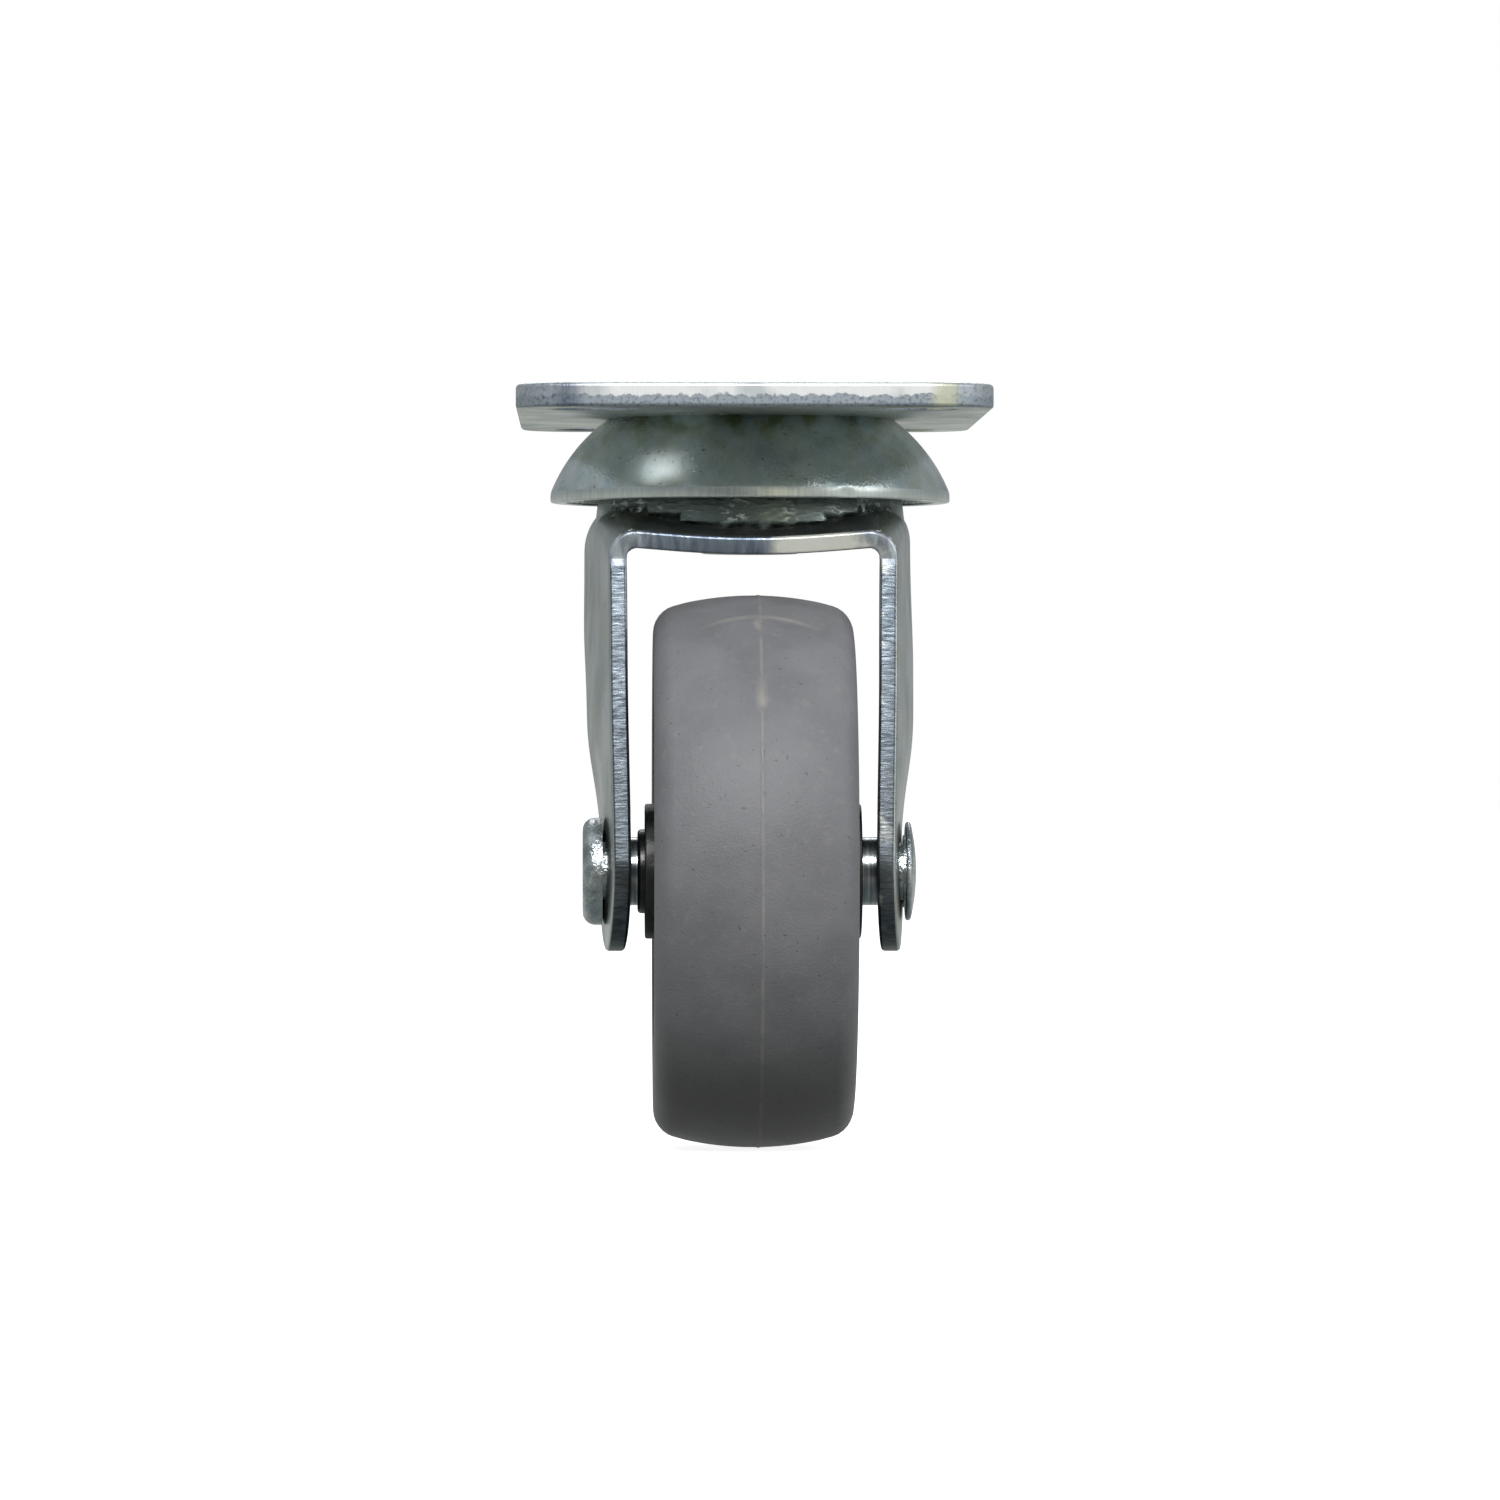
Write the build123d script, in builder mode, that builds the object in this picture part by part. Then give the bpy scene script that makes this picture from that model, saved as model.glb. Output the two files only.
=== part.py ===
"""Swivel plate caster, used as a gate wheel: top plate, ball-race hood, stamped fork, 3 inch wheel.

Millimetres. +Z is up, the origin is the centre of the plate's top face, the axle runs along X and
the wheel trails towards -Y.
"""

import math
import os

from build123d import *

# Top plate, with slots that run across it
plate_x = 65.0
plate_y = 92.0
plate_t = 3.4
plate_corner_r = 8.5
plate_edge_r = 0.6
bolt_spacing_x = 44.0
bolt_spacing_y = 75.0
slot_length = 11.0
slot_width = 8.6

# Race hood, a flared cup pressed from sheet
hood_t = 2.0
hood_top_r = 20.1
hood_shoulder_r = 25.3
hood_shoulder_z = -8.7
hood_rim_r = 28.0
hood_lip_z = -13.7
hood_rim_z = -15.05

# Fork sheet, its crown and the round dish raised in the crown
sheet_t = 2.6
bend_r = 3.9
crown_half_y = 25.0
crown_top_z = -15.5
crown_side_z = -19.4
crown_sag = 1.0
crown_rear_z = -17.4
crown_front_z = -23.4
dish_top_z = -11.0
dish_top_r = 20.9
dish_base_r = 22.4
dish_base_z = -24.0
dish_corner_r = 5.0
pin_clearance_r = 6.2

# Fork legs: height, half width at the front edge, half width at the rear edge. The legs toe in
# towards the front, most of all near the edge.
leg_levels = [
    (-8.0, 19.9, 23.2),
    (-16.0, 19.9, 23.3),
    (-24.0, 19.85, 23.3),
    (-32.0, 19.75, 23.35),
    (-40.0, 19.7, 23.35),
    (-47.0, 19.6, 23.1),
    (-53.0, 19.5, 22.2),
    (-59.5, 19.4, 21.2),
    (-66.4, 19.3, 21.0),
    (-73.0, 19.3, 21.0),
    (-80.0, 19.3, 21.0),
]
toe_in_power = 1.6
leg_rear_z = -24.5
leg_knee = (-1.0, -46.0)
form_margin = 3.0

# Axle and trail
trail = 22.0
axle_z = -66.4
boss_r = 11.0
seat_x = 20.7
seat_r = 7.9
rivet_r = 4.0
running_fit = 0.05
rivet_head_r = 7.4
rivet_head_t = 2.75
rivet_edge_r = 1.0
dome_r = 6.8
dome_edge_t = 0.7
dome_t = 1.5
neck_r = 5.0
neck_t = 0.3
sleeve_r = 4.7
sleeve_bore_r = 4.1
sleeve_half = 17.3

# Ball races
upper_ball_r = 2.95
upper_ball_z = -10.8
upper_ball_count = 20
lower_ball_r = 2.4
lower_pitch_r = 11.0
lower_ball_count = 13
race_gap = 0.06

# Lower race cup and kingpin
cup_floor_z = -18.1
cup_bottom_z = -20.4
cup_r = 14.9
cup_bore_r = 13.5
cup_wall_z = -16.6
cup_edge_r = 0.8
pin_r = 5.0
pin_head_r = 8.2
pin_head_depth = 2.6
pin_head_sink = 0.15
pin_tail_r = 7.5
pin_tail_t = 1.8
pin_tail_edge_r = 1.2

# Wheel
wheel_r = 38.1
tread_width = 27.5
tread_sag = 2.3
tread_shoulder_r = 2.8
tread_inner_r = 29.0
core_rim_width = 26.8
core_rim_t = 2.4
hub_r = 9.3
hub_width = 29.8
web_t = 4.0
rib_count = 16
rib_t = 1.8
rib_width = 25.2
hub_sleeve_r = 5.8
hub_sleeve_left = 15.9
hub_sleeve_right = 14.9

through = 90.0  # longer than the part, for cuts and slabs that pass right through it
seam_gap = 0.02
axle_plane = Plane(origin=(0, -trail, axle_z), x_dir=(0, 1, 0), z_dir=(1, 0, 0))
axle_axis = Axis((0, -trail, axle_z), (1, 0, 0))
axle_section = Plane(origin=(0, -trail, axle_z), x_dir=(1, 0, 0), z_dir=(0, -1, 0))
core_r = tread_inner_r - seam_gap
lower_ball_z = dish_top_z - sheet_t - race_gap - lower_ball_r

# The hood's inner cone stands off the upper balls by the race gap, which sets their pitch circle
cone_angle = math.atan2(hood_shoulder_z - hood_lip_z, hood_rim_r - hood_shoulder_r)
cone_reach = upper_ball_r + race_gap + hood_t
cone_mid_r = hood_shoulder_r + (hood_shoulder_z - upper_ball_z) / math.tan(cone_angle)
upper_pitch_r = cone_mid_r - cone_reach / math.sin(cone_angle) - race_gap


def front_edge_y(z):
    """The legs' front edge, which leans forward from the crown to the axle boss."""
    share = min(max((crown_side_z - z) / (crown_side_z - axle_z), 0), 1)
    return -crown_half_y + share * (crown_half_y - trail - boss_r)


def rear_edge_y(z):
    """The legs' rear edge, which tapers from the crown to the axle boss."""
    share = min(max((leg_rear_z - z) / (leg_rear_z - axle_z), 0), 1)
    return crown_half_y + share * (boss_r - trail - crown_half_y)


def leg_form(inset):
    """A body whose two sides are the legs' faces, moved in by inset."""
    with BuildPart() as form:
        for z, front_x, rear_x in leg_levels:
            front, rear = front_edge_y(z), rear_edge_y(z)
            margin = form_margin / (rear - front)
            side = []
            for share in (-margin, 0, 0.25, 0.5, 0.75, 1, 1 + margin):
                toe_in = (rear_x - front_x) * abs(1 - share) ** toe_in_power
                side.append((rear_x - toe_in - inset, front + share * (rear - front)))
            other = [(-x, y) for x, y in reversed(side)]
            with BuildSketch(Plane.XY.offset(z)):
                with BuildLine():
                    Spline(*side)
                    Line(side[-1], other[0])
                    Spline(*other)
                    Line(other[-1], side[0])
                make_face()
        loft()
    return form.part


def crown_form(inset):
    """A body whose top is the crown's face, moved down by inset. The front edge sags mid-way."""
    stations = [(-30, 0), (-13, 0.35), (0, 1), (13, 0.35), (30, 0)]
    reach, far, floor = 31.0, 45.0, -90.0
    with BuildPart() as form:
        for x, sag_share in stations:
            top = crown_top_z - inset
            front_drop = crown_top_z - crown_side_z + sag_share * crown_sag
            rear_drop = crown_top_z - crown_rear_z
            curve = []
            for y in (-reach, -crown_half_y, -12.5, 0, 12.5, crown_half_y, reach):
                drop = front_drop if y < 0 else rear_drop
                curve.append((y, top - drop * (y / crown_half_y) ** 2))
            front_z, rear_z = curve[0][1], curve[-1][1]
            with BuildSketch(Plane.YZ.offset(x)):
                with BuildLine():
                    Spline(*curve)
                    Polyline((reach, rear_z), (far, rear_z), (far, floor), (-far, floor), (-far, front_z),
                             (-reach, front_z))
                make_face()
        loft()
    return form.part


def channel_form(inset):
    """The legs and crown together, with the bend between them rounded."""
    with BuildPart() as form:
        add(leg_form(inset))
        add(crown_form(inset), mode=Mode.INTERSECT)
        top = form.faces().sort_by(Axis.Z)[-1]
        fillet(top.edges().filter_by(lambda e: abs(e.center().X) > dish_top_r / 2), bend_r - inset)
    return form.part


def dish_form(inset):
    """The raised dish, moved in by inset."""
    with BuildPart() as form:
        with BuildSketch(Plane.XZ):
            with BuildLine():
                Polyline(
                    (0, dish_top_z - inset),
                    (dish_top_r - inset, dish_top_z - inset),
                    (dish_base_r - inset, dish_base_z),
                    (0, dish_base_z),
                    close=True,
                )
            make_face()
        revolve(axis=Axis.Z)
        fillet(form.edges().group_by(Axis.Z)[-1], dish_corner_r - inset)
        add(leg_form(inset), mode=Mode.INTERSECT)
    return form.part


def tangent_to_boss(start, side):
    """Where a straight line from start touches the axle boss, in front (-1) or behind (1)."""
    dy, dz = -trail - start[0], axle_z - start[1]
    reach = math.hypot(dy, dz)
    heading = math.atan2(dz, dy) + side * math.asin(boss_r / reach)
    length = math.sqrt(reach**2 - boss_r**2)
    return start[0] + length * math.cos(heading), start[1] + length * math.sin(heading)


def side_outline():
    """The fork seen from the side, as a slab right across it."""
    front_top = (-crown_half_y, crown_front_z)
    front_low = tangent_to_boss(front_top, -1)
    rear_top = (crown_half_y, leg_rear_z)
    rear_low = tangent_to_boss(leg_knee, 1)
    taper = (leg_knee[0] - rear_low[0], leg_knee[1] - rear_low[1])
    with BuildPart() as slab:
        with BuildSketch(Plane.YZ):
            with BuildLine():
                Polyline((crown_half_y, 0), (-crown_half_y, 0), front_top, front_low)
                ThreePointArc(front_low, (-trail, axle_z - boss_r), rear_low)
                Line(rear_low, leg_knee)
                Spline(leg_knee, rear_top, tangents=(taper, (0.5, 1)))
                Line(rear_top, (crown_half_y, 0))
            make_face()
        extrude(amount=through, both=True)
    return slab.part


def ball_track(pitch_r, ball_r, z):
    """The groove that a ring of balls runs in."""
    with BuildPart() as track:
        with BuildSketch(Plane.XZ):
            with Locations((pitch_r, z)):
                Circle(ball_r + race_gap)
        revolve(axis=Axis.Z)
    return track.part


def save(part, name):
    """Labels a finished piece and writes its STEP file."""
    part.label = name
    export_step(part, f"parts/{name}.step")


os.makedirs("parts", exist_ok=True)

with BuildPart() as top_plate:
    with BuildSketch():
        RectangleRounded(plate_x, plate_y, plate_corner_r)
        with GridLocations(bolt_spacing_x, bolt_spacing_y, 2, 2):
            SlotOverall(slot_length, slot_width, mode=Mode.SUBTRACT)
    extrude(amount=-plate_t)
    rims = [top_plate.faces().sort_by(Axis.Z)[i].outer_wire().edges() for i in (0, -1)]
    fillet([*rims[0], *rims[1]], plate_edge_r)
    with BuildSketch(Plane.XZ):
        with BuildLine():
            Polyline(
                (0, 0),
                (pin_head_r + running_fit, 0),
                (pin_head_r + running_fit, -pin_head_sink),
                (pin_r + running_fit, -pin_head_depth),
                (pin_r + running_fit, -plate_t - 1),
                (0, -plate_t - 1),
                close=True,
            )
        make_face()
    revolve(axis=Axis.Z, mode=Mode.SUBTRACT)
save(top_plate.part, "top_plate")

with BuildPart() as race_hood:
    with BuildSketch(Plane.XZ):
        with BuildLine():
            Line((pin_r + running_fit, -plate_t), (hood_top_r, -plate_t))
            ThreePointArc(
                (hood_top_r, -plate_t), (hood_shoulder_r, hood_shoulder_z), (hood_rim_r, hood_lip_z)
            )
            Line((hood_rim_r, hood_lip_z), (hood_rim_r, hood_rim_z))
            offset(amount=hood_t, side=Side.RIGHT)
        make_face()
    revolve(axis=Axis.Z)
save(race_hood.part, "race_hood")

with BuildPart() as kingpin:
    with BuildSketch(Plane.XZ):
        with BuildLine():
            Polyline(
                (0, -pin_head_sink),
                (pin_head_r, -pin_head_sink),
                (pin_r, -pin_head_depth),
                (pin_r, cup_bottom_z),
                (pin_tail_r, cup_bottom_z),
                (pin_tail_r, cup_bottom_z - pin_tail_t),
                (0, cup_bottom_z - pin_tail_t),
                close=True,
            )
        make_face()
    revolve(axis=Axis.Z)
    fillet(kingpin.edges().group_by(Axis.Z)[0], pin_tail_edge_r)
save(kingpin.part, "kingpin")

with BuildPart() as lower_race:
    with BuildSketch(Plane.XZ):
        with BuildLine():
            Polyline(
                (pin_r + running_fit, cup_bottom_z),
                (cup_r, cup_bottom_z),
                (cup_r, cup_wall_z),
                (cup_bore_r, cup_wall_z),
                (cup_bore_r, cup_floor_z),
                (pin_r + running_fit, cup_floor_z),
                close=True,
            )
        make_face()
    revolve(axis=Axis.Z)
    add(ball_track(lower_pitch_r, lower_ball_r, lower_ball_z), mode=Mode.SUBTRACT)
    fillet(lower_race.edges().group_by(Axis.Z)[0].sort_by(SortBy.RADIUS)[-1], cup_edge_r)
save(lower_race.part, "lower_race")

for ring, count, pitch_r, ball_r, z in (
    ("upper", upper_ball_count, upper_pitch_r, upper_ball_r, upper_ball_z),
    ("lower", lower_ball_count, lower_pitch_r, lower_ball_r, lower_ball_z),
):
    for number, place in enumerate(PolarLocations(pitch_r, count), start=1):
        with BuildPart() as ball:
            with Locations(Pos(0, 0, z) * place):
                Sphere(ball_r)
        save(ball.part, f"{ring}_ball_{number:02d}")

with BuildPart() as fork:
    add(channel_form(0))
    add(dish_form(0))
    add(channel_form(sheet_t), mode=Mode.SUBTRACT)
    add(dish_form(sheet_t), mode=Mode.SUBTRACT)
    add(side_outline(), mode=Mode.INTERSECT)
    Cylinder(pin_clearance_r, through, mode=Mode.SUBTRACT)
    add(ball_track(upper_pitch_r, upper_ball_r, upper_ball_z), mode=Mode.SUBTRACT)
    with BuildSketch(axle_plane):
        Circle(rivet_r + running_fit)
    extrude(amount=through, both=True, mode=Mode.SUBTRACT)
    for turn in (1, -1):
        with BuildSketch(axle_plane.offset(turn * seat_x)):
            Circle(seat_r)
        extrude(amount=turn * through, mode=Mode.SUBTRACT)
save(fork.part, "fork")

with BuildPart() as axle_rivet:
    with BuildSketch(axle_section):
        with BuildLine():
            dome_x = seat_x + neck_t
            Polyline(
                (dome_x + dome_t, 0),
                (-seat_x - rivet_head_t, 0),
                (-seat_x - rivet_head_t, rivet_head_r),
                (-seat_x, rivet_head_r),
                (-seat_x, rivet_r),
                (seat_x, rivet_r),
                (seat_x, neck_r),
                (dome_x, neck_r),
                (dome_x, dome_r),
                (dome_x + dome_edge_t, dome_r),
            )
            dome_rise = dome_t - dome_edge_t
            dome_sphere_r = (dome_r**2 + dome_rise**2) / (2 * dome_rise)
            sphere_x = dome_x + dome_t - dome_sphere_r
            ThreePointArc(
                (dome_x + dome_edge_t, dome_r),
                (sphere_x + math.sqrt(dome_sphere_r**2 - (dome_r / 2) ** 2), dome_r / 2),
                (dome_x + dome_t, 0),
            )
        make_face()
    revolve(axis=axle_axis)
    fillet(axle_rivet.edges().group_by(Axis.X)[0], rivet_edge_r)
save(axle_rivet.part, "axle_rivet")

with BuildPart() as axle_sleeve:
    with BuildSketch(axle_plane):
        Circle(sleeve_r)
        Circle(sleeve_bore_r, mode=Mode.SUBTRACT)
    extrude(amount=sleeve_half, both=True)
save(axle_sleeve.part, "axle_sleeve")

with BuildPart() as hub_sleeve:
    with BuildSketch(axle_plane.offset(-hub_sleeve_left)):
        Circle(hub_sleeve_r)
        Circle(sleeve_r + running_fit, mode=Mode.SUBTRACT)
    extrude(amount=hub_sleeve_left + hub_sleeve_right)
save(hub_sleeve.part, "hub_sleeve")

with BuildPart() as wheel_core:
    with BuildSketch(axle_plane):
        Circle(hub_r)
    extrude(amount=hub_width / 2, both=True)
    with BuildSketch(axle_plane):
        Circle(core_r)
    extrude(amount=web_t / 2, both=True)
    with BuildSketch(axle_plane):
        Circle(core_r)
        Circle(core_r - core_rim_t, mode=Mode.SUBTRACT)
    extrude(amount=core_rim_width / 2, both=True)
    with BuildSketch(axle_plane):
        with PolarLocations((hub_r + core_r - core_rim_t) / 2, rib_count):
            Rectangle(core_r - core_rim_t - hub_r + rib_t / 2, rib_t)
    extrude(amount=rib_width / 2, both=True)
    with BuildSketch(axle_plane):
        Circle(hub_sleeve_r + seam_gap)
    extrude(amount=hub_width, both=True, mode=Mode.SUBTRACT)
save(wheel_core.part, "wheel_core")

with BuildPart() as wheel_tread:
    half = tread_width / 2
    shoulder_r = wheel_r - tread_sag
    with BuildSketch(axle_section):
        with BuildLine():
            ThreePointArc((-half, shoulder_r), (0, wheel_r), (half, shoulder_r))
            Polyline((half, shoulder_r), (half, tread_inner_r), (-half, tread_inner_r), (-half, shoulder_r))
        make_face()
    revolve(axis=axle_axis)
    shoulders = wheel_tread.edges().filter_by(GeomType.CIRCLE)
    fillet(shoulders.filter_by(lambda e: e.radius > shoulder_r - 0.1), tread_shoulder_r)
save(wheel_tread.part, "wheel_tread")
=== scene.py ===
import math

import bmesh
import bpy
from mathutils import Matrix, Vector


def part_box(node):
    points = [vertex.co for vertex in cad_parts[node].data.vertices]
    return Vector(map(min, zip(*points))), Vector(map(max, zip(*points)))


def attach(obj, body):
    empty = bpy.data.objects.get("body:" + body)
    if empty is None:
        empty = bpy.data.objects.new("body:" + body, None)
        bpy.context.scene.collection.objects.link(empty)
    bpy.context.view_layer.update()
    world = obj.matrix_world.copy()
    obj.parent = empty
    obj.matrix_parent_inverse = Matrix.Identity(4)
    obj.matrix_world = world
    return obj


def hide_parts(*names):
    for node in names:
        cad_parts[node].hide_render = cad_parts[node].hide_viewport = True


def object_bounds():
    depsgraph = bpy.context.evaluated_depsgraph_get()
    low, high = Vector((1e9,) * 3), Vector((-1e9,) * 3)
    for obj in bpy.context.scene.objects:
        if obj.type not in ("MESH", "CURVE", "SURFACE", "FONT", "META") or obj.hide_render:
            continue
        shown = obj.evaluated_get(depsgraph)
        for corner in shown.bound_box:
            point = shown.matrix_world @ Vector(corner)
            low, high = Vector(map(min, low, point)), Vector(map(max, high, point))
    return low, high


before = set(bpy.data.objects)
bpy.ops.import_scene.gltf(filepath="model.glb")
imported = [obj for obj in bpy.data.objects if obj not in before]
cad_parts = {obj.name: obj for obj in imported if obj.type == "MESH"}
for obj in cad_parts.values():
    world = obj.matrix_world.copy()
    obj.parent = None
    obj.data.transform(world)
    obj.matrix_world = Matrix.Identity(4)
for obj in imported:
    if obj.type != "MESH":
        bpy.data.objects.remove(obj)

cadBox = [list(corner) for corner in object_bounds()]
mm = 0.001
mergeMm = 0.001  # points closer than this are one
cornerDeg = 50
axle = {"y": -22.0, "z": -66.4}
scene = bpy.context.scene
print("frame loaded,", len(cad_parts), "nodes")


def hexColour(text):
    # sRGB hex to the linear values that a shader wants
    parts = [int(text[i:i + 2], 16) / 255 for i in (0, 2, 4)]
    linear = [p / 12.92 if p <= 0.04045 else ((p + 0.055) / 1.055) ** 2.4 for p in parts]
    return (*linear, 1.0)


def perSize(sizeMm):
    # pattern scale for Object coordinates, which are in metres
    return 1 / (sizeMm * mm)


def addNode(tree, kind, links=None, **settings):
    # a node with its settings, and its inputs as values or as sockets to link from
    node = tree.nodes.new(kind)
    for name, value in settings.items():
        setattr(node, name, value)
    for key, value in (links or {}).items():
        if isinstance(value, bpy.types.NodeSocket):
            tree.links.new(value, node.inputs[key])
        else:
            node.inputs[key].default_value = value
    return node


def newMaterial(name, **uniform):
    # a material with its output and a Principled shader, and Object coordinates to draw from
    material = bpy.data.materials.new(name)
    material.use_nodes = True
    tree = material.node_tree
    tree.nodes.clear()
    shader = addNode(tree, "ShaderNodeBsdfPrincipled")
    for socket, value in uniform.items():
        shader.inputs[socket.replace("_", " ")].default_value = value
    addNode(tree, "ShaderNodeOutputMaterial", {"Surface": shader.outputs["BSDF"]})
    coords = addNode(tree, "ShaderNodeTexCoord")
    return material, tree, shader, coords.outputs["Object"]


def noise(tree, coords, sizeMm, detail=4.0, stretch=(1, 1, 1), shift=(0, 0, 0)):
    # noise whose grains are about sizeMm, drawn out along an axis where stretch is small
    mapped = addNode(tree, "ShaderNodeMapping", {"Vector": coords, "Scale": stretch, "Location": shift})
    grain = addNode(tree, "ShaderNodeTexNoise",
                    {"Vector": mapped.outputs["Vector"], "Scale": perSize(sizeMm), "Detail": detail})
    return grain.outputs["Fac"]


def between(tree, value, low, high, toLow=0.0, toHigh=1.0):
    # takes a value from one range to another and clamps it
    node = addNode(tree, "ShaderNodeMapRange", {"Value": value, "From Min": low, "From Max": high,
                                                "To Min": toLow, "To Max": toHigh})
    return node.outputs["Result"]


def maths(tree, operation, first, second=0.0):
    return addNode(tree, "ShaderNodeMath", {0: first, 1: second}, operation=operation).outputs[0]


def mixColour(tree, factor, first, second):
    # colours come as hex text or as sockets
    node = addNode(tree, "ShaderNodeMix", {"Factor": factor}, data_type="RGBA")
    for socket, value in zip([i for i in node.inputs if i.type == "RGBA"], (first, second)):
        if isinstance(value, str):
            socket.default_value = hexColour(value)
        else:
            tree.links.new(value, socket)
    return [o for o in node.outputs if o.type == "RGBA"][0]


def placeOf(tree, coords):
    # x, y and z in millimetres
    inMm = addNode(tree, "ShaderNodeVectorMath", {0: coords, "Scale": 1000.0}, operation="SCALE")
    return addNode(tree, "ShaderNodeSeparateXYZ", {"Vector": inMm.outputs["Vector"]}).outputs


def setBump(tree, shader, height, heightMm):
    bump = addNode(tree, "ShaderNodeBump", {"Height": height, "Strength": 1.0, "Distance": heightMm * mm})
    tree.links.new(bump.outputs["Normal"], shader.inputs["Normal"])


zincSet = {"scratch": "e4e8ea", "speck": "23282a", "speckMm": 0.8, "fineMm": 0.45, "greaseMm": 3.2}


def zincPlatedSteel(name, look):
    # bright zinc over pressed sheet: cool grey metal, clouded by passivation, with fine handling scratches
    material, tree, shader, coords = newMaterial(name, Metallic=1.0)
    cloud = noise(tree, coords, look["cloudMm"], 5)
    tint = mixColour(tree, between(tree, cloud, 0.36, 0.64), look["dark"], look["light"])
    hue = noise(tree, coords, look["cloudMm"] * 0.6, 3, shift=(0.3, 0.1, 0.7))
    tint = mixColour(tree, between(tree, hue, 0.5, 0.68, 0, look["hueAmount"]), tint, look["hueWarm"])
    tint = mixColour(tree, between(tree, hue, 0.46, 0.3, 0, look["hueAmount"]), tint, look["hueCool"])
    drag = noise(tree, coords, look["dragMm"], 5, look["dragStretch"])
    scratch = between(tree, drag, 0.6, 0.68)
    tint = mixColour(tree, maths(tree, "MULTIPLY", scratch, look["scratch"]), tint, zincSet["scratch"])
    speck = noise(tree, coords, zincSet["speckMm"], 3, shift=(0.9, 0.2, 0.4))
    tint = mixColour(tree, between(tree, speck, 0.66, 0.74, 0, 0.6), tint, zincSet["speck"])
    gloss = between(tree, cloud, 0.3, 0.7, look["roughHigh"], look["roughLow"])
    if look.get("grease"):
        # thin yellow-green grease in spots, near the balls
        high = between(tree, placeOf(tree, coords)["Z"], look["greaseLowMm"], look["greaseHighMm"])
        spots = noise(tree, coords, zincSet["greaseMm"], 6)
        spots = between(tree, spots, 0.52, 0.62, 0, look["greaseAmount"])
        film = maths(tree, "MULTIPLY", high, spots)
        tint = mixColour(tree, film, tint, look["grease"])
        gloss = maths(tree, "SUBTRACT", gloss, maths(tree, "MULTIPLY", film, 0.12))
    tree.links.new(tint, shader.inputs["Base Color"])
    tree.links.new(gloss, shader.inputs["Roughness"])
    fine = noise(tree, coords, zincSet["fineMm"], 3)
    relief = maths(tree, "ADD", maths(tree, "ADD", maths(tree, "MULTIPLY", cloud, 1.5), fine),
                   maths(tree, "MULTIPLY", drag, 0.8))
    setBump(tree, shader, relief, look["reliefMm"])
    return material


def shearedEdge(name, look):
    # cut edge of a pressing: burnished by the die, with fine drag lines across its thickness
    material, tree, shader, coords = newMaterial(name, Metallic=1.0)
    lines = noise(tree, coords, look["lineMm"], 4, look["lineStretch"])
    tint = mixColour(tree, between(tree, lines, 0.36, 0.64), look["dark"], look["light"])
    cloud = noise(tree, coords, 4.0, 4)
    tint = mixColour(tree, between(tree, cloud, 0.42, 0.66, 0, 0.6), tint, look["worn"])
    tree.links.new(tint, shader.inputs["Base Color"])
    tree.links.new(between(tree, lines, 0.3, 0.7, 0.4, 0.32), shader.inputs["Roughness"])
    setBump(tree, shader, lines, look["reliefMm"])
    return material


def shearedForkEdge(name, look):
    # cut edge of the bent sheet: drag lines across its thickness, a painted highlight on the bends, and
    # painted shade darkening it towards the axle
    material, tree, shader, coords = newMaterial(name, Metallic=1.0)
    place = placeOf(tree, coords)
    cloud = noise(tree, coords, 4.0, 4)
    leg = between(tree, place["Z"], *look["turnMm"])
    legLines = noise(tree, coords, look["legLineMm"], 4, (0.2, 1, 1))
    crownLines = noise(tree, coords, look["crownLineMm"], 4, (1, 1, 0.2))
    lines = maths(tree, "ADD", maths(tree, "MULTIPLY", legLines, leg),
                  maths(tree, "MULTIPLY", crownLines, maths(tree, "SUBTRACT", 1.0, leg)))
    legTint = mixColour(tree, between(tree, legLines, 0.36, 0.64), look["legDark"], look["legLight"])
    crownTint = mixColour(tree, between(tree, crownLines, 0.36, 0.64), look["crownDark"], look["crownLight"])
    tint = mixColour(tree, leg, crownTint, legTint)
    worn = mixColour(tree, leg, look["crownWorn"], look["legWorn"])
    tint = mixColour(tree, between(tree, cloud, 0.42, 0.66, 0, 0.6), tint, worn)
    # to the right of the middle the punch smeared the zinc to a pale scattering skin
    x = maths(tree, "ADD", place["X"], between(tree, cloud, 0.3, 0.7, -3, 3))
    smear = maths(tree, "MULTIPLY", between(tree, x, *look["smearFromMm"]),
                  between(tree, x, look["smearEndMm"] + 2, look["smearEndMm"] - 2))
    tint = mixColour(tree, maths(tree, "MULTIPLY", smear, 0.85), tint, look["smeared"])
    # a painted highlight covers the bend and stops where the leg begins
    bend = maths(tree, "MULTIPLY", between(tree, maths(tree, "ABSOLUTE", x), *look["bendMm"]),
                 between(tree, place["Z"], *look["bendEndMm"]))
    tint = mixColour(tree, maths(tree, "MULTIPLY", bend, between(tree, lines, 0.4, 0.6, 0.35, 0.8)), tint,
                     look["paintedBendHighlight"])
    # painted shade: the edge is darkened towards the bottom, near the axle
    tint = mixColour(tree, between(tree, place["Z"], *look["paintedShadeFromMm"], 0, 0.55), tint, look["paintedShade"])
    matt = maths(tree, "MAXIMUM", smear, maths(tree, "MULTIPLY", bend, 0.55))
    tree.links.new(tint, shader.inputs["Base Color"])
    tree.links.new(between(tree, matt, 0, 1, 1, look["smearMetal"]), shader.inputs["Metallic"])
    tree.links.new(between(tree, lines, 0.3, 0.7, 0.4, 0.32), shader.inputs["Roughness"])
    setBump(tree, shader, lines, look["reliefMm"])
    return material


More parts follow.
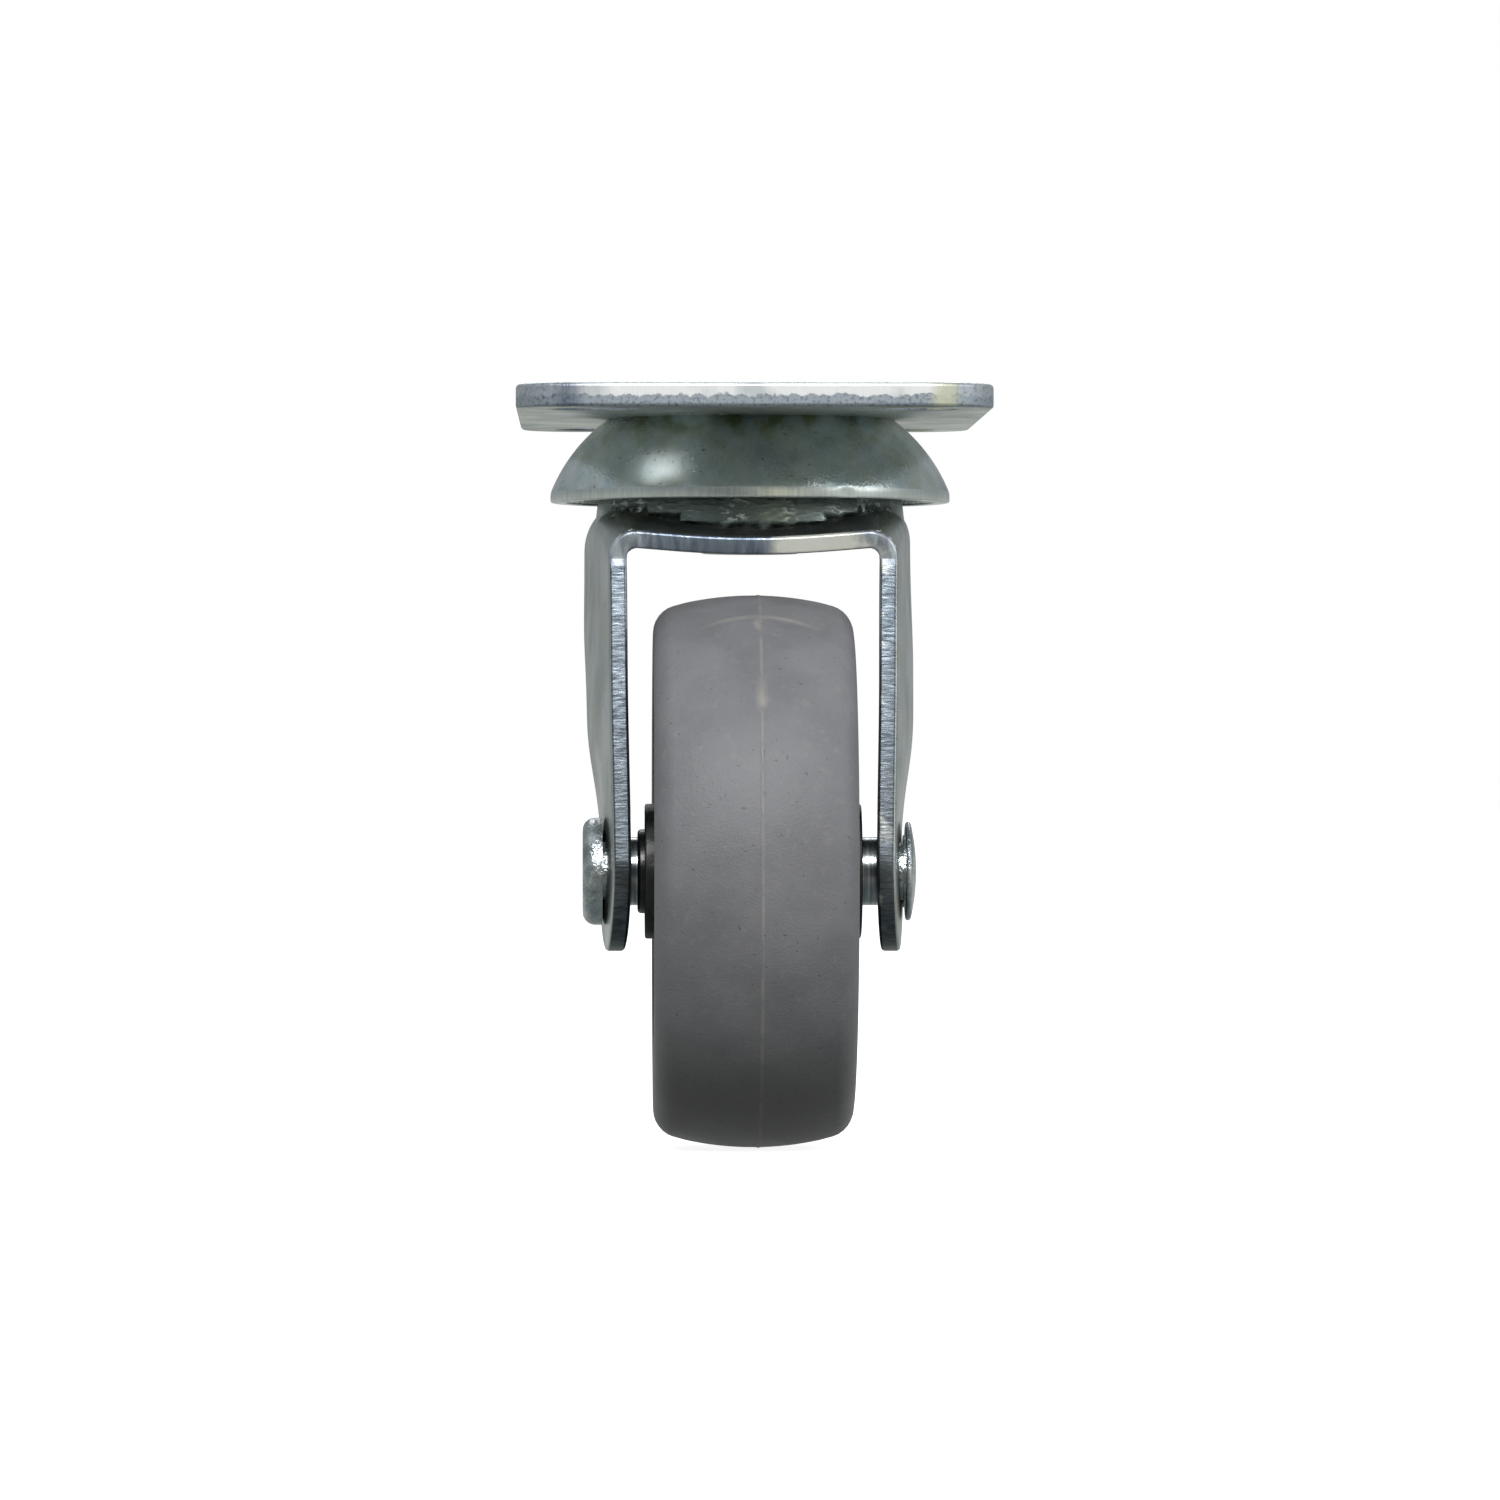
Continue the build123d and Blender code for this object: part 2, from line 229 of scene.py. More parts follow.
def burnishedPlateEdge(name, look):
    # punched plate edge: the upper half is smeared bright, the lower half tore off grey and speckled
    material, tree, shader, coords = newMaterial(name, Metallic=1.0)
    place = placeOf(tree, coords)
    ragged = between(tree, noise(tree, coords, 1.4, 4, (1, 1, 0.6)), 0.3, 0.7, -0.45, 0.45)
    level = maths(tree, "ADD", place["Z"], ragged)
    offMiddle = maths(tree, "ABSOLUTE", place["X"])
    straight = between(tree, offMiddle, look["smearEndMm"] + 1, look["smearEndMm"] - 1)
    bright = maths(tree, "MULTIPLY", between(tree, level, look["splitMm"] - 0.12, look["splitMm"] + 0.12),
                   between(tree, straight, 0, 1, 0.2, 1))
    lines = noise(tree, coords, 0.35, 3, (1, 1, 0.12))
    grit = noise(tree, coords, 0.5, 4)
    torn = mixColour(tree, between(tree, grit, 0.34, 0.5), look["tornDark"], look["torn"])
    tint = mixColour(tree, bright, torn, look["bright"])
    stain = between(tree, noise(tree, coords, 9.0, 3, shift=(0.2, 0.5, 0)), 0.56, 0.7, 0, 0.45)
    tint = mixColour(tree, stain, tint, look["stain"])
    for middleMm, colour in look["cornerTints"]:
        off = maths(tree, "ABSOLUTE", maths(tree, "SUBTRACT", place["X"], middleMm))
        tint = mixColour(tree, between(tree, off, 2.4, 0.8, 0, 0.6), tint, colour)
    tree.links.new(tint, shader.inputs["Base Color"])
    tree.links.new(between(tree, bright, 0, 1, 0.5, 0.4), shader.inputs["Roughness"])
    # the smeared zinc scatters light, so it is less of a mirror
    tree.links.new(between(tree, bright, 0, 1, 0.9, 0.3), shader.inputs["Metallic"])
    setBump(tree, shader, maths(tree, "ADD", maths(tree, "MULTIPLY", bright, 0.3), lines), look["reliefMm"])
    return material


def greasedDrawnSteel(name, look):
    # ball track and drawn wall under the hood: dark greasy film with crinkled bright smears along the draw
    material, tree, shader, coords = newMaterial(name, Metallic=1.0)
    crinkle = noise(tree, coords, 1.3, 6, (1, 1, 2.4))
    smear = between(tree, crinkle, 0.51, 0.57)
    patch = between(tree, noise(tree, coords, 7.0, 2, (1, 1, 0.5)), 0.44, 0.56)
    band = between(tree, placeOf(tree, coords)["Z"], look["smearLowMm"], look["smearLowMm"] + 0.8)
    tint = mixColour(tree, maths(tree, "MULTIPLY", maths(tree, "MULTIPLY", smear, patch), band),
                     look["film"], look["smear"])
    tree.links.new(tint, shader.inputs["Base Color"])
    tree.links.new(between(tree, crinkle, 0.4, 0.6, 0.5, 0.3), shader.inputs["Roughness"])
    setBump(tree, shader, crinkle, look["reliefMm"])
    return material


def turnedSteel(name, look):
    # tube or rivet shank: bright metal with fine rings round the axle
    material, tree, shader, coords = newMaterial(name, Metallic=1.0)
    rings = noise(tree, coords, look["ringMm"], 3, (1, 0.02, 0.02))
    cloud = noise(tree, coords, 5.0, 4)
    tint = mixColour(tree, between(tree, rings, 0.38, 0.62), look["dark"], look["light"])
    tint = mixColour(tree, between(tree, cloud, 0.5, 0.7, 0, 0.6), tint, look["stain"])
    tree.links.new(tint, shader.inputs["Base Color"])
    gloss = between(tree, cloud, 0.3, 0.7, look["roughLow"], look["roughHigh"])
    tree.links.new(gloss, shader.inputs["Roughness"])
    setBump(tree, shader, rings, look["reliefMm"])
    return material


def formedRivetHead(name, look):
    # upset rivet head: zinc over hammered steel, with shallow tool marks and a few dark pits
    material, tree, shader, coords = newMaterial(name, Metallic=1.0)
    dents = noise(tree, coords, 2.2, 4)
    grain = noise(tree, coords, 0.4, 3)
    tint = mixColour(tree, between(tree, dents, 0.38, 0.62), look["dark"], look["light"])
    tint = mixColour(tree, between(tree, grain, 0.64, 0.74, 0, 0.7), tint, look["pit"])
    tree.links.new(tint, shader.inputs["Base Color"])
    gloss = between(tree, dents, 0.3, 0.7, look["roughLow"], look["roughHigh"])
    tree.links.new(gloss, shader.inputs["Roughness"])
    setBump(tree, shader, maths(tree, "ADD", maths(tree, "MULTIPLY", dents, 2.0), grain), look["reliefMm"])
    return material


def mouldedRubber(name, look):
    # grey non-marking rubber from a polished mould: satin, faintly mottled, with dust in its pores
    material, tree, shader, coords = newMaterial(name, IOR=1.5)
    mottle = noise(tree, coords, 7.0, 5)
    tint = mixColour(tree, between(tree, mottle, 0.35, 0.65), look["dark"], look["light"])
    dust = between(tree, noise(tree, coords, 1.2, 5, shift=(0.6, 0.1, 0.3)), 0.56, 0.72, 0, 0.3)
    tint = mixColour(tree, dust, tint, look["dust"])
    place = placeOf(tree, coords)
    across = maths(tree, "SUBTRACT", place["X"], look["partingMm"])
    offLine = maths(tree, "ABSOLUTE", across)
    waver = between(tree, noise(tree, coords, 2.5, 4), 0.35, 0.65)
    line = maths(tree, "MULTIPLY", between(tree, offLine, 0.32, 0.1), between(tree, waver, 0, 1, 0.05, 0.3))
    # degrees up from the front of the wheel
    rise = maths(tree, "SUBTRACT", place["Z"], axle["z"])
    ahead = maths(tree, "SUBTRACT", axle["y"], place["Y"])
    degrees = maths(tree, "MULTIPLY", maths(tree, "ARCTAN2", rise, ahead), 180 / math.pi)
    # a shallow arc across the line, with a stem below it
    droop = maths(tree, "MULTIPLY", maths(tree, "POWER", offLine, 2), look["arcBow"])
    bowed = maths(tree, "SUBTRACT", look["arcDeg"], droop)
    offArc = maths(tree, "ABSOLUTE", maths(tree, "SUBTRACT", degrees, bowed))
    arcMark = maths(tree, "MULTIPLY", between(tree, offArc, 1.3, 0.2),
                    between(tree, offLine, look["arcReachMm"], look["arcReachMm"] - 4))
    stem = maths(tree, "MULTIPLY", between(tree, degrees, look["arcDeg"] - 8, look["arcDeg"] - 5),
                 between(tree, degrees, look["arcDeg"] + 2, look["arcDeg"] - 4))
    swerve = maths(tree, "ABSOLUTE", maths(tree, "ADD", across, between(tree, waver, 0, 1, -0.2, 0.9)))
    stem = maths(tree, "MULTIPLY", stem, between(tree, swerve, 0.8, 0.1))
    # the gate mark lies on the line, lower down
    first, last = look["gateDeg"]
    gate = maths(tree, "MULTIPLY", between(tree, degrees, first - 1, first + 1),
                 between(tree, degrees, last + 1, first + 2))
    gate = maths(tree, "MULTIPLY", gate, between(tree, offLine, 1.0, 0.1))
    gate = maths(tree, "MULTIPLY", maths(tree, "MAXIMUM", gate, stem), between(tree, waver, 0, 1, 0.25, 0.5))
    arcMark = maths(tree, "MULTIPLY", arcMark, between(tree, waver, 0, 1, 0.15, 0.42))
    marks = maths(tree, "MAXIMUM", maths(tree, "MAXIMUM", arcMark, gate), line)
    tint = mixColour(tree, marks, tint, look["flash"])
    pores = between(tree, noise(tree, coords, 0.7, 2, shift=(0.1, 0.8, 0.2)), 0.68, 0.75, 0, 0.5)
    tint = mixColour(tree, pores, tint, look["pore"])
    tree.links.new(tint, shader.inputs["Base Color"])
    gloss = between(tree, mottle, 0.3, 0.7, look["roughLow"], look["roughHigh"])
    tree.links.new(gloss, shader.inputs["Roughness"])
    skin = noise(tree, coords, 0.35, 3)
    relief = maths(tree, "ADD", maths(tree, "ADD", skin, maths(tree, "MULTIPLY", mottle, 2.0)),
                   maths(tree, "MULTIPLY", marks, 3.0))
    setBump(tree, shader, maths(tree, "SUBTRACT", relief, pores), look["reliefMm"])
    return material


nylonSet = {"dust": "6d6a66", "skinMm": 0.3, "reliefMm": 0.03}


def mouldedNylon(name, look):
    # black moulded plastic: satin, with faint flow marks and a little grey dust
    material, tree, shader, coords = newMaterial(name, IOR=1.53)
    flow = noise(tree, coords, 6.0, 4, (1, 0.5, 0.5))
    tint = mixColour(tree, between(tree, flow, 0.35, 0.65), look["dark"], look["light"])
    dust = between(tree, noise(tree, coords, 1.6, 5), 0.56, 0.74, 0, look["dustAmount"])
    tint = mixColour(tree, dust, tint, nylonSet["dust"])
    tree.links.new(tint, shader.inputs["Base Color"])
    gloss = between(tree, flow, 0.3, 0.7, look["roughLow"], look["roughHigh"])
    tree.links.new(gloss, shader.inputs["Roughness"])
    setBump(tree, shader, noise(tree, coords, nylonSet["skinMm"], 2), nylonSet["reliefMm"])
    return material


ballSet = {"steel": "b4b8ba", "grease": "8d8558", "filmMm": 2.0, "reliefMm": 0.03}


def groundBallSteel(name):
    # hardened steel balls, mirror-ground, with a film of yellowish grease
    material, tree, shader, coords = newMaterial(name, Metallic=1.0)
    film = noise(tree, coords, ballSet["filmMm"], 4)
    tint = mixColour(tree, between(tree, film, 0.45, 0.65), ballSet["steel"], ballSet["grease"])
    tree.links.new(tint, shader.inputs["Base Color"])
    tree.links.new(between(tree, film, 0.4, 0.7, 0.1, 0.35), shader.inputs["Roughness"])
    setBump(tree, shader, film, ballSet["reliefMm"])
    return material


stageSet = {"distance": 1.2, "azimuthDeg": -1.0, "eyeZ": -0.0497, "lens": 205.2, "sensor": 36.0,
            "floorHalf": 6.0, "floorGlow": 0.85}
roomSet = {"softLow": "5a5852", "softHigh": "9a9fa3", "tableNear": "838b8b", "tableFar": "d6d8d3",
           "wallLow": "a3a8ab", "wallHigh": "b6bbbe", "darkRoom": "2b333e", "window": "fbf6dc"}


def makeStage():
    bm = bmesh.new()
    bmesh.ops.create_grid(bm, x_segments=1, y_segments=1, size=stageSet["floorHalf"])
    bmesh.ops.translate(bm, verts=bm.verts, vec=(0, 0, cadBox[0][2]))
    mesh = bpy.data.meshes.new("floor")
    bm.to_mesh(mesh)
    bm.free()
    floor = bpy.data.objects.new("floor", mesh)
    scene.collection.objects.link(floor)
    floor.visible_diffuse = False  # keeps the tyre's underside dark
    floor.visible_glossy = False
    material, _, shader, _ = newMaterial("paleFloor")
    shader.inputs["Base Color"].default_value = hexColour("ffffff")
    shader.inputs["Emission Color"].default_value = hexColour("ffffff")
    shader.inputs["Emission Strength"].default_value = stageSet["floorGlow"]
    mesh.materials.append(material)


def makeWorld():
    world = bpy.data.worlds.new("studio")
    scene.world = world
    world.use_nodes = True
    tree = world.node_tree
    tree.nodes.clear()
    coords = addNode(tree, "ShaderNodeTexCoord").outputs["Generated"]
    way = addNode(tree, "ShaderNodeSeparateXYZ", {"Vector": coords}).outputs
    # what lights matt surfaces: dim below, pale above
    soft = mixColour(tree, between(tree, way["Z"], -0.3, 0.24), roomSet["softLow"], roomSet["softHigh"])
    # what bright metal mirrors: pale table, grey walls, and in front a dark room with a window at the right
    mirror = mixColour(tree, between(tree, way["Z"], -0.9, -0.05), roomSet["tableNear"], roomSet["tableFar"])
    mirror = mixColour(tree, between(tree, way["Z"], -0.03, 0.02), mirror, roomSet["wallLow"])
    mirror = mixColour(tree, between(tree, way["Z"], 0.15, 0.9), mirror, roomSet["wallHigh"])
    level = between(tree, maths(tree, "ABSOLUTE", way["Z"]), 0.5, 0.2)
    ahead = maths(tree, "MULTIPLY", between(tree, way["Y"], -0.8, -0.96), level)
    mirror = mixColour(tree, maths(tree, "MULTIPLY", ahead, 0.85), mirror, roomSet["darkRoom"])
    window = maths(tree, "MULTIPLY", between(tree, way["X"], 0.08, 0.16), between(tree, way["X"], 0.5, 0.36))
    window = maths(tree, "MULTIPLY", maths(tree, "MULTIPLY", window, level), between(tree, way["Y"], 0, -0.2))
    mirror = mixColour(tree, window, mirror, roomSet["window"])
    path = addNode(tree, "ShaderNodeLightPath").outputs
    seen = mixColour(tree, path["Is Glossy Ray"], soft, mirror)
    room = addNode(tree, "ShaderNodeBackground", {"Color": seen, "Strength": 1.0})
    backdrop = addNode(tree, "ShaderNodeBackground", {"Color": hexColour("ffffff"), "Strength": 1.0})
    both = addNode(tree, "ShaderNodeMixShader", {"Fac": path["Is Camera Ray"],
                                                 1: room.outputs[0], 2: backdrop.outputs[0]})
    addNode(tree, "ShaderNodeOutputWorld", {"Surface": both.outputs[0]})


lightSet = {
    "aim": (0, 0, -0.05),
    "key": {"place": (-0.05, -1.0, 0.73), "size": (0.34, 0.3), "watts": 10.5},
    "fill": {"place": (1.0, -0.5, 0.5), "size": (0.8, 0.8), "watts": 4},
    "back": {"place": (0, 1.25, 0.9), "size": (0.9, 0.5), "watts": 5},
    "spark": {"place": (-0.73, -0.23, 0.88), "size": (0.03, 0.03), "watts": 0.5},
}


def areaLight(name, place, size, watts):
    lamp = bpy.data.lights.new(name, "AREA")
    lamp.shape = "RECTANGLE"
    lamp.size, lamp.size_y = size
    lamp.energy = watts
    obj = bpy.data.objects.new(name, lamp)
    scene.collection.objects.link(obj)
    obj.location = place
    obj.rotation_euler = (Vector(lightSet["aim"]) - Vector(place)).to_track_quat("-Z", "Y").to_euler()
    return obj


def letThrough(light, piece):
    # this light passes the piece as if it threw no shadow
    passed = bpy.data.collections.new(light.name + "Passes")
    passed.objects.link(piece)
    light.light_linking.blocker_collection = passed
    passed.collection_objects[0].light_linking.link_state = "EXCLUDE"


def makeCamera():
    data = bpy.data.cameras.new("camera")
    data.sensor_width = stageSet["sensor"]
    data.lens = stageSet["lens"]
    camera = bpy.data.objects.new("camera", data)
    scene.collection.objects.link(camera)
    turn = math.radians(stageSet["azimuthDeg"])
    back = Vector((math.sin(turn), -math.cos(turn), 0))
    camera.location = back * stageSet["distance"] + Vector((0, 0, stageSet["eyeZ"]))
    camera.rotation_euler = (-back).to_track_quat("-Z", "Y").to_euler()
    scene.camera = camera


makeStage()
makeWorld()
areaLight("keyLight", **lightSet["key"])
areaLight("fillLight", **lightSet["fill"])
areaLight("backLight", **lightSet["back"])
spark = areaLight("sparkLight", **lightSet["spark"])
makeCamera()
scene.view_settings.view_transform = "Standard"
print("stage, light and camera set")


def finishPiece(name, bm, body, materials, replaced, sharpDeg=32):
    mesh = bpy.data.meshes.new(name)
    bm.to_mesh(mesh)
    bm.free()
    for material in materials:
        mesh.materials.append(material)
    mesh.shade_smooth()
    mesh.set_sharp_from_angle(angle=math.radians(sharpDeg))
    piece = bpy.data.objects.new(name, mesh)
    scene.collection.objects.link(piece)
    flat = piece.modifiers.new("flatFaces", "WEIGHTED_NORMAL")  # keeps wide faces flat beside rounded edges
    flat.keep_sharp = True
    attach(piece, body)
    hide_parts(*replaced)
    print("made", name, len(mesh.polygons), "faces")
    return piece


def copyOfNode(node):
    # the node's triangles, merged where its faces meet
    bm = bmesh.new()
    bm.from_mesh(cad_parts[node].data)
    bmesh.ops.remove_doubles(bm, verts=bm.verts, dist=mergeMm * mm)
    return bm


def softenEdges(bm, edges, widthMm, segments=3):
    bmesh.ops.bevel(bm, geom=edges, offset=widthMm * mm, offset_type="OFFSET", segments=segments,
                    profile=0.5, affect="EDGES", material=-1, clamp_overlap=False)


def cornerEdges(bm):
    # edges where two faces meet at a clear corner
    return [e for e in bm.edges if e.is_manifold and e.calc_face_angle() > math.radians(cornerDeg)]


def dress(node, material):
    # gives a carried-over node its finish
    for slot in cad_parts[node].material_slots:
        slot.material = material


def turned(profile, axis, steps):
    # spins a closed outline of (along, radius) corners in mm, round X at the axle or round Z
    bm = bmesh.new()
    if axis == "X":
        centre, way = Vector((0, axle["y"], axle["z"])) * mm, (1, 0, 0)
        places = [Vector((a, axle["y"], axle["z"] + r)) * mm for a, r in profile]
    else:
        centre, way = Vector((0, 0, 0)), (0, 0, 1)
        places = [Vector((r, 0, a)) * mm for a, r in profile]
    verts = [bm.verts.new(p) for p in places]
    edges = [bm.edges.new((v, verts[(i + 1) % len(verts)])) for i, v in enumerate(verts)]
    bmesh.ops.spin(bm, geom=verts + edges, cent=centre, axis=way, angle=math.tau, steps=steps,
                   use_merge=True, use_duplicate=False)
    bmesh.ops.remove_doubles(bm, verts=bm.verts, dist=mergeMm * mm)
    bmesh.ops.recalc_face_normals(bm, faces=bm.faces)
    return bm


def arcPoints(start, mid, end, steps):
    # points on the circle through three (along, radius) places, both ends included
    (ax, ay), (bx, by), (cx, cy) = start, mid, end
    d = 2 * (ax * (by - cy) + bx * (cy - ay) + cx * (ay - by))
    aa, bb, cc = ax**2 + ay**2, bx**2 + by**2, cx**2 + cy**2
    ux = (aa * (by - cy) + bb * (cy - ay) + cc * (ay - by)) / d
    uy = (aa * (cx - bx) + bb * (ax - cx) + cc * (bx - ax)) / d
    reach = math.hypot(ax - ux, ay - uy)
    first = math.atan2(ay - uy, ax - ux)
    last = math.atan2(cy - uy, cx - ux)
    turn = (last - first + math.pi) % math.tau - math.pi
    angles = [first + turn * i / steps for i in range(steps + 1)]
    return [(ux + reach * math.cos(angle), uy + reach * math.sin(angle)) for angle in angles]


def ringEdges(bm, axis, along, radius):
    # the edges of the ring that lies at this place along the axis and this radius
    found = []
    for edge in bm.edges:
        spots = []
        for v in edge.verts:
            if axis == "X":
                spots.append((v.co.x / mm, math.hypot(v.co.y / mm - axle["y"], v.co.z / mm - axle["z"])))
            else:
                spots.append((v.co.z / mm, math.hypot(v.co.x, v.co.y) / mm))
        if all(abs(a - along) < 0.01 and abs(r - radius) < 0.01 for a, r in spots):
            found.append(edge)
    return found


print("pieces start")

plateSet = {
    "softMm": 0.35, "slotZone": (31, 45), "kingpinClear": 10, "edgeHalfMm": 2,
    "face": {"cloudMm": 9.0, "dark": "b0b7b6", "light": "d0d5d4", "hueWarm": "b9bba6", "hueCool": "abbac2",
             "hueAmount": 0.35, "dragMm": 0.6, "dragStretch": (1, 0.06, 1), "scratch": 0.25,
             "roughLow": 0.3, "roughHigh": 0.45, "reliefMm": 0.05,
             "grease": "8f9455", "greaseLowMm": -3.2, "greaseHighMm": -3.35, "greaseAmount": 0.35},
    "edge": {"splitMm": -1.75, "smearEndMm": 24.5, "bright": "f4f6f6", "torn": "a0a9b2", "tornDark": "717b85",
             "stain": "8b949e", "cornerTints": ((-25.2, "566275"), (25.6, "dcdcbc")), "reliefMm": 0.06},
}


def makePlate():
    look = plateSet
    bm = copyOfNode("top_plate")
    # only the slots' rims, because the outline is rounded already
    zoneX, zoneY = look["slotZone"]
    inside = [e for e in cornerEdges(bm)
              if all(abs(v.co.x) < zoneX * mm and abs(v.co.y) < zoneY * mm
                     and v.co.xy.length > look["kingpinClear"] * mm for v in e.verts)]
    softenEdges(bm, inside, look["softMm"], 2)
    low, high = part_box("top_plate")
    middle = (low[2] + high[2]) / 2
    for face in bm.faces:
        upright = abs(face.normal.z) < 0.75
        near = abs(face.calc_center_median().z - middle) < look["edgeHalfMm"] * mm
        face.material_index = 1 if upright and near else 0
    return finishPiece("mountingPlate", bm, "mounting",
                       [zincPlatedSteel("zincOnRolledPlate", look["face"]),
                        burnishedPlateEdge("shearedPlateEdge", look["edge"])], ["top_plate"])


hoodSet = {
    "steps": 256, "arcSteps": 14, "topZ": -3.4, "bore": 5.05, "top": 20.1, "shoulder": (-8.7, 25.3),
    "rim": 28.0, "lipZ": -13.7, "rimZ": -15.05, "thickness": 2.0, "lipRoundMm": 0.45,
    "rimRoundMm": 0.3,
    "nick": (12.9, -14.5, 1.6, 0.35),  # x, z, reach and depth
    "wall": {"cloudMm": 8.0, "dark": "a9b5b4", "light": "ced7d8", "hueWarm": "b2b59d", "hueCool": "9bb9be",
             "hueAmount": 0.45, "dragMm": 0.5, "dragStretch": (1, 1, 0.08), "scratch": 0.3,
             "roughLow": 0.2, "roughHigh": 0.32, "reliefMm": 0.05,
             "grease": "8f9660", "greaseLowMm": -7.5, "greaseHighMm": -5.0, "greaseAmount": 0.4},
    "lip": {"lineMm": 0.5, "lineStretch": (1, 1, 0.1), "dark": "bcc4c1", "light": "d2d8d5",
            "worn": "b9c1bb", "reliefMm": 0.02},
}


def makeHood():
    look = hoodSet
    t = look["thickness"]
    outer = arcPoints((look["topZ"], look["top"]), look["shoulder"], (look["lipZ"], look["rim"]),
                      look["arcSteps"])
    # the inner face is the same curve moved in by the sheet's thickness
    inner = []
    for i, (a, r) in enumerate(outer):
        before, after = outer[max(i - 1, 0)], outer[min(i + 1, len(outer) - 1)]
        along, out = after[0] - before[0], after[1] - before[1]
        size = math.hypot(along, out)
        inner.append((a - t * out / size, r + t * along / size))
    profile = [(look["topZ"], look["bore"])] + outer + [(look["rimZ"], look["rim"]),
                                                      (look["rimZ"], look["rim"] - t)]
    profile += [p for p in reversed(inner) if p[0] > look["rimZ"] and p[1] < look["rim"] - t - 0.05
                and p[0] < look["topZ"] - t]
    profile += [(look["topZ"] - t, look["bore"])]
    bm = turned(profile, "Z", look["steps"])
    softenEdges(bm, ringEdges(bm, "Z", look["lipZ"], look["rim"]), look["lipRoundMm"])
    rims = ringEdges(bm, "Z", look["rimZ"], look["rim"]) + ringEdges(bm, "Z", look["rimZ"], look["rim"] - t)
    softenEdges(bm, rims, look["rimRoundMm"])
    nickX, nickZ, reach, depth = look["nick"]
    for v in bm.verts:
        x, y, z = v.co / mm
        if y < 0 and math.hypot(x, y) > look["rim"] - 1:
            pull = max(0, 1 - math.hypot(x - nickX, (z - nickZ) * 1.3) / reach)
            v.co -= Vector((x, y, 0)).normalized() * depth * pull * mm
    for face in bm.faces:
        centre = face.calc_center_median() / mm
        out = face.normal.x * centre.x + face.normal.y * centre.y
        onLip = centre.z < look["lipZ"] + 0.25 and out > 0.5 * math.hypot(centre.x, centre.y)
        face.material_index = 1 if onLip else 0
    finishPiece("raceHood", bm, "mounting",
                [zincPlatedSteel("passivatedZincOnPressing", look["wall"]),
                 shearedEdge("burnishedLip", look["lip"])], ["race_hood"])


forkSet = {
    "edgeRoundMm": 0.5, "seatClear": 8.0, "bendZ": -24.2, "crownEdgeY": 24.0, "edgeFacing": 0.6,
    "dishReach": 24.5, "dishHalfX": 19.5, "dishTopZ": -13.2, "wallFacing": 0.5, "sharpDeg": 50,
    "wall": {"cloudMm": 11.0, "dark": "9ca2a1", "light": "b8bdbc", "hueWarm": "a9ab9c", "hueCool": "9fadb3",
             "hueAmount": 0.4, "dragMm": 0.7, "dragStretch": (1, 1, 0.07), "scratch": 0.15,
             "roughLow": 0.34, "roughHigh": 0.46, "reliefMm": 0.04},
    "edge": {"turnMm": (-23.9, -24.6), "legLineMm": 0.34, "legDark": "3f464e", "legLight": "7c858e",
             "legWorn": "62696f", "crownLineMm": 0.8, "crownDark": "566170", "crownLight": "8f9aa8",
             "crownWorn": "717c8a", "smeared": "eaebdf", "smearMetal": 0.3, "smearFromMm": (0, 6),
             "smearEndMm": 15, "bendMm": (14.5, 18), "bendEndMm": (-24.6, -23.9),
             # the bend tint is a painted highlight; the tint after it is painted shade, darker towards the
             # axle
             "paintedBendHighlight": "c3cad0", "paintedShade": "4a4d4c", "paintedShadeFromMm": (-34, -72), "reliefMm": 0.035},
    "dish": {"film": "7d8885", "smear": "f6faf4", "smearLowMm": -18.6, "reliefMm": 0.05},
}


def forkZone(face):
    # 1 for the sheet's cut edges, 2 for the dish's drawn wall, 0 for the sheet's faces
    centre, normal = face.calc_center_median() / mm, face.normal
    if centre.z > forkSet["bendZ"]:
        if abs(centre.y) > forkSet["crownEdgeY"] and abs(normal.y) > forkSet["edgeFacing"]:
            return 1
        reach = math.hypot(centre.x, centre.y)
        outward = (normal.x * centre.x + normal.y * centre.y) / reach
        onWall = outward > forkSet["wallFacing"] and abs(centre.x) < forkSet["dishHalfX"]
        return 2 if reach < forkSet["dishReach"] and (centre.z > forkSet["dishTopZ"] or onWall) else 0
    nearAxle = math.hypot(centre.y - axle["y"], centre.z - axle["z"]) < forkSet["seatClear"]
    return 1 if abs(normal.x) < 0.5 and not nearAxle else 0


def makeFork():
    look = forkSet
    bm = copyOfNode("fork")
    zones = {face: forkZone(face) == 1 for face in bm.faces}
    rim = [e for e in bm.edges if e.is_manifold and zones[e.link_faces[0]] != zones[e.link_faces[1]]]
    softenEdges(bm, rim, look["edgeRoundMm"])
    for face in bm.faces:
        face.material_index = forkZone(face)
    finishPiece("forkSheet", bm, "fork_body",
                [zincPlatedSteel("zincOnFormedSheet", look["wall"]),
                 shearedForkEdge("shearedSheetEdge", look["edge"]),
                 greasedDrawnSteel("greasedDrawnWall", look["dish"])], ["fork"], look["sharpDeg"])


treadSet = {
    "steps": 240, "arcSteps": 24, "radius": 38.07, "width": 27.5, "sag": 2.3, "shoulderMm": 2.8,
    "shoulderClear": 4, "inner": 29.0, "innerRoundMm": 0.5, "sharpDeg": 40,
    "parting": 0.7, "flashWidth": 0.4, "flashHeight": 0.08, "flashClear": 1.0,
    "rubber": {"dark": "747477", "light": "7e7e81", "dust": "8e8c87", "flash": "b3aea2", "pore": "4b4a4a",
               "partingMm": 0.7, "roughLow": 0.46, "roughHigh": 0.6, "arcDeg": 66.5, "arcBow": 0.06,
               "arcReachMm": 8.5, "gateDeg": (36, 46), "reliefMm": 0.05},
}


